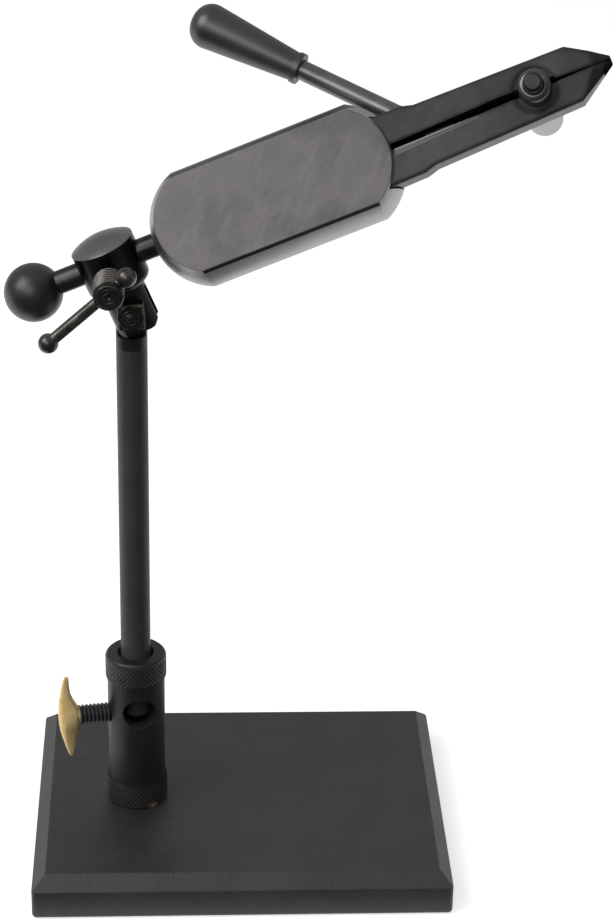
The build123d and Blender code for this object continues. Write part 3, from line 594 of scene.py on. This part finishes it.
# Turned rings on the neck between the stem and the fork
neck = {"low": 176.75, "pitch": 0.62, "count": 6, "root": 4.5, "groove": 4.58, "crest": 4.74,
        "land": (0.15, 0.35), "steps": 64}
neckRings = [(neck["root"], neck["low"])]
for index in range(neck["count"]):
    foot = neck["low"] + index * neck["pitch"]
    neckRings += [(neck["crest"], foot + height) for height in neck["land"]]
    neckRings.append((neck["groove"], foot + neck["pitch"]))
neckRings.append((neck["root"], neckRings[-1][1]))
bm = bmesh.new()
turned(bm, neckRings, neck["steps"])
addPiece("neckRings", bm, tongueBlack, "swivel", socketAxis, sharp=25.0)

# A thread's core reaches past the root, in millimetres, and past the windings, in pitches
threadCore = {"overlap": 0.06, "margin": 0.6}


def threaded(bm, root, crest, pitch, flat, start, end, steps):
    # A ridge wound up the axis, closed inside by a plain core
    windings = math.floor((end - start) / pitch)
    ridge = [(root, 0), (crest, pitch * (0.5 - flat)), (crest, pitch * (0.5 + flat)), (root, pitch)]
    corners = [bm.verts.new((radius * mm, 0, (start + height) * mm)) for radius, height in ridge]
    sides = [bm.edges.new(pair) for pair in zip(corners, corners[1:])]
    bmesh.ops.spin(bm, geom=corners + sides, cent=(0, 0, 0), axis=(0, 0, 1), dvec=(0, 0, pitch * mm / steps),
                   angle=math.tau * windings, steps=steps * windings)
    point = bm.verts.layers.float.new("crest")
    for vert in bm.verts:
        vert[point] = 1.0 if vert.co.xy.length > (root + crest) / 2 * mm else 0.0
    core = (root + threadCore["overlap"]) * mm
    middle = (start + (windings + 1) * pitch / 2) * mm
    bmesh.ops.create_cone(bm, cap_ends=True, segments=steps, radius1=core, radius2=core,
                          depth=(windings + threadCore["margin"]) * pitch * mm,
                          matrix=Matrix.Translation((0, 0, middle)))


# Lock screw: finely threaded head and a ringed face
lockHead = {"root": 4.12, "crest": 4.58, "pitch": 1.32, "flat": 0.1, "start": 14.6, "end": 26.1, "steps": 40}
lockFace = {"height": 26.5, "steps": 48}
lockAxis = along(shaftPlace, frontWay, (1, 0, 0))
bm = bmesh.new()
threaded(bm, *lockHead.values())
addPiece("lockThread", bm, threadSteel, "lock_screw", lockAxis, sharp=25.0)
faceRings = [(0.0, -0.25), (0.35, -0.3), (0.6, -0.1), (0.85, 0.12), (1.15, 0.14), (1.35, -0.05),
             (1.7, -0.08), (1.95, 0.1), (2.3, 0.14), (2.5, 0.02), (2.8, 0.0), (3.0, 0.1), (3.3, 0.08),
             (3.6, -0.1), (3.9, -0.4)]
bm = bmesh.new()
turned(bm, [(radius, height + lockFace["height"]) for radius, height in faceRings], lockFace["steps"])
addPiece("lockFace", bm, threadSteel, "lock_screw", lockAxis)

# Sliding bar with its two balls
slidingBar = {"bar": 1.75, "ball": 3.0, "arcSteps": 18, "steps": 40}
ballLow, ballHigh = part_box("tommy_balls")
ballSize = Vector((1, 1, 1)) * (ballHigh.y - ballLow.y) / 2
farBall, nearBall = ballLow + ballSize, ballHigh - ballSize
span = (nearBall - farBall).length / mm
neckAngle = math.pi - math.asin(slidingBar["bar"] / slidingBar["ball"])
arc = [neckAngle * index / slidingBar["arcSteps"] for index in range(slidingBar["arcSteps"] + 1)]
halfBar = [(slidingBar["ball"] * math.sin(angle), -slidingBar["ball"] * math.cos(angle)) for angle in arc]
bm = bmesh.new()
turned(bm, halfBar + [(radius, span - height) for radius, height in reversed(halfBar)], slidingBar["steps"])
addPiece("slidingBar", bm, barSteel, "tommy", along(farBall, nearBall - farBall, frontWay),
         replaced=["tommy_bar", "tommy_balls"])

# Thumb screw: threaded stud and brass wing
stud = {"root": 2.62, "crest": 3.17, "pitch": 1.27, "flat": 0.12, "start": 5.2, "end": 20.5, "steps": 32}
bm = bmesh.new()
threaded(bm, *stud.values())
thumbTurn = along(thumbPlace, thumbAxis, up)
addPiece("thumbThread", bm, knurlBlack, "thumb_screw", thumbTurn, replaced=["thumb_stud"])

wing = {
    # Height along the wing, inner edge, outer edge and thickness, from the lower tip to the upper one
    "sections": [
        (-15.4, 21.15, 21.75, 0.7), (-14.6, 20.75, 22.3, 1.2), (-13.0, 20.4, 22.9, 1.6),
        (-10.5, 19.95, 23.65, 2.4), (-8.0, 19.45, 24.35, 3.6), (-5.5, 18.95, 24.95, 5.0),
        (-3.4, 18.5, 25.25, 6.2), (-1.2, 18.2, 25.42, 6.9), (0.8, 18.2, 25.47, 6.9),
        (2.4, 18.55, 25.42, 6.2), (4.0, 19.4, 25.32, 5.2), (6.0, 20.45, 25.1, 3.9), (8.2, 21.35, 24.8, 2.8),
        (10.4, 21.72, 24.4, 2.0), (12.6, 21.85, 23.9, 1.5), (14.0, 21.9, 23.45, 1.1), (14.6, 22.2, 23.1, 0.7),
    ],
    "corner": 0.72, "segments": 24, "hub": [(0.0, 18.5), (2.9, 18.5), (3.1, 18.8), (3.1, 21.5), (0.0, 22.0)],
    "hubSteps": 32,
}
bm = bmesh.new()
previous = None
for height, innerEdge, outerEdge, thick in wing["sections"]:
    middle = (innerEdge + outerEdge) / 2
    ring = bmesh.ops.create_circle(bm, segments=wing["segments"], radius=1.0)["verts"]
    for vert in ring:
        # Fuller than an oval, with its width along the screw
        wide = math.copysign(abs(vert.co.x) ** wing["corner"], vert.co.x) * (outerEdge - innerEdge) / 2
        deep = math.copysign(abs(vert.co.y) ** wing["corner"], vert.co.y) * thick / 2
        vert.co = Vector((height, deep, middle + wide)) * mm
    loop = list({edge for vert in ring for edge in vert.link_edges})
    if previous:
        bmesh.ops.bridge_loops(bm, edges=previous + loop)
    else:
        bmesh.ops.contextual_create(bm, geom=loop)
    previous = loop
bmesh.ops.contextual_create(bm, geom=previous)
turned(bm, wing["hub"], wing["hubSteps"])
addPiece("brassWing", bm, wingBrass, "thumb_screw", thumbTurn, replaced=["thumb_wing"], sharp=50.0)

# Pivot nut: the turned chamfer shows as a ring, and the bolt ends in a dome inside a groove
nutRing = {"seat": 8.8, "outer": 3.85, "inner": 2.75, "lift": 0.16, "sink": 0.1, "skirt": 0.02, "round": 0.25,
           "steps": 48, "domeSteps": 40}
domeRings = [(0.0, 9.75), (0.5, 9.7), (1.0, 9.55), (1.4, 9.3), (1.6, 9.12), (1.85, 9.1), (2.05, 9.25),
             (2.3, 9.28), (2.5, 9.1), (2.6, 8.75)]
pivotAxis = along(pivotPlace, frontWay, (1, 0, 0))
bm = bmesh.new()
seat, inner, outer = nutRing["seat"], nutRing["inner"], nutRing["outer"]
top, bottom = seat + nutRing["lift"], seat - nutRing["sink"]
ringProfile = [(inner, bottom), (inner, seat + nutRing["lift"] / 2), (inner + nutRing["round"], top),
               (outer - nutRing["round"], top), (outer, seat - nutRing["skirt"]), (outer, bottom)]
turned(bm, ringProfile, nutRing["steps"])
turned(bm, domeRings, nutRing["domeSteps"])
addPiece("pivotNutRing", bm, threadSteel, "knuckle", pivotAxis)

# Collar nut in front of the jaws
collarNut = [(2.88, 8.7), (4.55, 8.7), (4.85, 8.85), (4.9, 9.2), (4.9, 14.4), (4.82, 14.9), (4.55, 15.4),
             (4.1, 15.8), (3.5, 16.05), (3.1, 16.1), (2.88, 16.0), (2.88, 8.7)]
nutSteps = 64
boltAxis = along(boltPlace, flatNormal, shaftAxis)
bm = bmesh.new()
turned(bm, collarNut, nutSteps)
addPiece("collarNut", bm, nutSteel, "head", boltAxis, replaced=["jaw_nut"])

# Adjusting knob behind the jaws
knob = {"radius": 5.4, "inner": 5.0, "start": -34.6, "end": -7.6, "across": 36, "rise": 1.2, "depth": 0.14,
        "lean": 0}
knobSteps = 64
knobProfile = [(0.0, -35.4), (4.2, -35.4), (4.9, -35.1), (5.35, -34.6), (5.1, -34.5), (5.1, -7.7),
               (5.35, -7.6), (4.9, -7.0), (4.2, -6.6), (4.2, -3.0), (4.0, -2.4), (4.0, -0.9), (4.2, -0.4),
               (4.2, 0.45), (2.95, 0.5)]
bm = bmesh.new()
knurled(bm, *knob.values())
turned(bm, knobProfile, knobSteps)
addPiece("adjustKnob", bm, knobAlloy, "knob", boltAxis, replaced=["jaw_knob"], sharp=60.0)

# Lip on the lower jaw's inner edge near the body, dying out towards the nut
jawLip = {"start": 91.0, "end": 117.0, "front": 9.16, "back": 6.5, "lean": 0.25, "rise": 0.56, "sink": 0.15,
          "round": 0.06, "endRise": 0.02, "tip": 157.9, "parting": 0.1, "spread": 1.75}
lipSteel = makeFinish(
    "lipSteel", [(0.0, (0.2, 0.2, 0.203)), (1.0, (0.32, 0.32, 0.323))], metal=0.5, rough=(0.3, 0.42),
    turn=headTurn, cloudScale=220.0,
    grain={"along": 60.0, "across": 4200.0, "depth": 0.25, "height": 0.000004},
)
bm = bmesh.new()
bmesh.ops.create_cube(bm, size=2.0)
for vert in bm.verts:
    reach = jawLip["start"] if vert.co.x < 0 else jawLip["end"]
    edge = jawLip["parting"] - (jawLip["tip"] - reach) * math.tan(math.radians(jawLip["spread"]))
    rise = jawLip["rise"] if vert.co.x < 0 else jawLip["endRise"]
    out = jawLip["front"] if vert.co.y > 0 else jawLip["back"]
    if vert.co.z > 0 and vert.co.y > 0 and vert.co.x < 0:
        out -= jawLip["lean"]
    high = edge + (rise if vert.co.z > 0 else -jawLip["sink"])
    vert.co = shaftPlace + (shaftAxis * reach + flatNormal * out + jawAcross * high) * mm
bmesh.ops.bevel(bm, geom=bm.edges[:], offset=jawLip["round"] * mm, offset_type="OFFSET", segments=2,
                profile=0.5, affect="EDGES", material=-1, clamp_overlap=True)
addPiece("jawLip", bm, lipSteel, "lower_jaw", sharp=40.0)
print("pieces made")

# Floor, light and camera
studio = {"side": 1.6, "front": -0.058, "back": 2.6, "floorTone": (0.86, 0.86, 0.86), "floorGlow": 0.6,
          "frontDim": 0.11, "backWall": 0.4, "overhead": 0.42, "leftSide": 0.35, "underDim": 0.05,
          "mirrored": 0.15, "floorRough": 0.8, "floorSink": 0.0002, "frontToBack": (-0.35, 0.3),
          "towardsTop": (0.5, 0.9), "towardsLeft": (-0.3, -0.95), "belowFloor": (-0.2, -0.02)}


def seenShare(tree, mirrored):
    # 1 for what the camera sees, and "mirrored" for what metal or glass shows of it
    rays = put(tree, "ShaderNodeLightPath").outputs
    shown = worked(tree, "MAXIMUM", rays["Is Glossy Ray"], rays["Is Transmission Ray"])
    return worked(tree, "MULTIPLY_ADD", shown, mirrored, rays["Is Camera Ray"])


bm = bmesh.new()
bmesh.ops.create_grid(bm, x_segments=1, y_segments=1, size=1.0)
bmesh.ops.scale(bm, vec=(studio["side"], (studio["back"] - studio["front"]) / 2, 1), verts=bm.verts)
bmesh.ops.translate(bm, vec=(0, (studio["back"] + studio["front"]) / 2, -studio["floorSink"]), verts=bm.verts)
floorMesh = bpy.data.meshes.new("studioFloor")
bm.to_mesh(floorMesh)
bm.free()
floor = bpy.data.objects.new("studioFloor", floorMesh)
bpy.context.scene.collection.objects.link(floor)
paper = bpy.data.materials.new("palePaper")
paper.use_nodes = True
tree = paper.node_tree
shader = tree.nodes["Principled BSDF"]
shader.inputs["Base Color"].default_value = (*studio["floorTone"], 1)
shader.inputs["Roughness"].default_value = studio["floorRough"]
shader.inputs["Emission Color"].default_value = (1, 1, 1, 1)
glow = worked(tree, "MULTIPLY", seenShare(tree, 1.0), studio["floorGlow"])
tree.links.new(glow, shader.inputs["Emission Strength"])
floorMesh.materials.append(paper)

# A bright room behind, above and on the left, and a dim one on the camera's side
world = bpy.data.worlds.new("studioWorld")
bpy.context.scene.world = world
world.use_nodes = True
tree = world.node_tree
backdrop = tree.nodes["Background"]
backdrop.inputs["Color"].default_value = (1, 1, 1, 1)
way = put(tree, "ShaderNodeTexCoord").outputs["Generated"]
split = put(tree, "ShaderNodeSeparateXYZ", {"Vector": way})
brightness = 0.0
for key, limits, dim, full in (
    ("Y", studio["frontToBack"], studio["frontDim"], studio["backWall"]),
    ("Z", studio["towardsTop"], 0.0, studio["overhead"]),
    ("X", studio["towardsLeft"], 0.0, studio["leftSide"]),
):
    part = ranged(tree, split.outputs[key], {"From Min": limits[0], "From Max": limits[1], "To Min": dim,
                                             "To Max": full}, interpolation_type="SMOOTHSTEP")
    brightness = worked(tree, "MAXIMUM", part, brightness)
below, above = studio["belowFloor"]
under = ranged(tree, split.outputs["Z"], {"From Min": below, "From Max": above, "To Min": studio["underDim"]},
               interpolation_type="SMOOTHSTEP")
room = worked(tree, "MULTIPLY", brightness, under)
white = put(tree, "ShaderNodeMix", {"Factor": seenShare(tree, studio["mirrored"]), "A": room, "B": 1.0},
            data_type="FLOAT")
tree.links.new(white.outputs["Result"], backdrop.inputs["Strength"])

lamps = {
    "leftBox": {"place": (-0.86, -0.42, 1.04), "aim": (0.0, 0.0, 0.15), "size": 0.85, "power": 9.0},
    "frontBox": {"place": (-0.36, -1.0, 0.8), "aim": (0.0, 0.0, 0.2), "size": 0.6, "power": 2.8},
}
for name, lamp in lamps.items():
    data = bpy.data.lights.new(name, "AREA")
    data.size = lamp["size"]
    data.energy = lamp["power"]
    light = bpy.data.objects.new(name, data)
    light.location = lamp["place"]
    light.rotation_mode = "QUATERNION"
    light.rotation_quaternion = (Vector(lamp["aim"]) - Vector(lamp["place"])).to_track_quat("-Z", "Y")
    light.visible_camera = False
    bpy.context.scene.collection.objects.link(light)

camera = {"eye": (-0.01878, -0.69746, 0.49038), "pitch": 26.88, "yaw": -3.202, "roll": 1.263,
          "focalShare": 2519.55 / 921, "sensor": 36.0, "near": 0.01}
pitchTurn, yawTurn, rollTurn = [math.radians(camera[key]) for key in ("pitch", "yaw", "roll")]
level = Matrix(((1, 0, 0), (0, 0, -1), (0, 1, 0)))
yawMatrix = Matrix.Rotation(-yawTurn, 3, "Z")
pitchMatrix = Matrix.Rotation(pitchTurn, 3, "X")
rollMatrix = Matrix.Rotation(rollTurn, 3, "Z")
right, down, ahead = rollMatrix @ pitchMatrix @ level @ yawMatrix
cameraData = bpy.data.cameras.new("photoCamera")
cameraData.sensor_width = camera["sensor"]
cameraData.lens = camera["sensor"] * camera["focalShare"]
cameraData.clip_start = camera["near"]
photoCamera = bpy.data.objects.new("photoCamera", cameraData)
facing = Matrix((right, -down, -ahead)).transposed().to_4x4()
photoCamera.matrix_world = Matrix.Translation(camera["eye"]) @ facing
bpy.context.scene.collection.objects.link(photoCamera)
bpy.context.scene.camera = photoCamera
bpy.context.scene.view_settings.view_transform = "Standard"
print("camera and lights set")
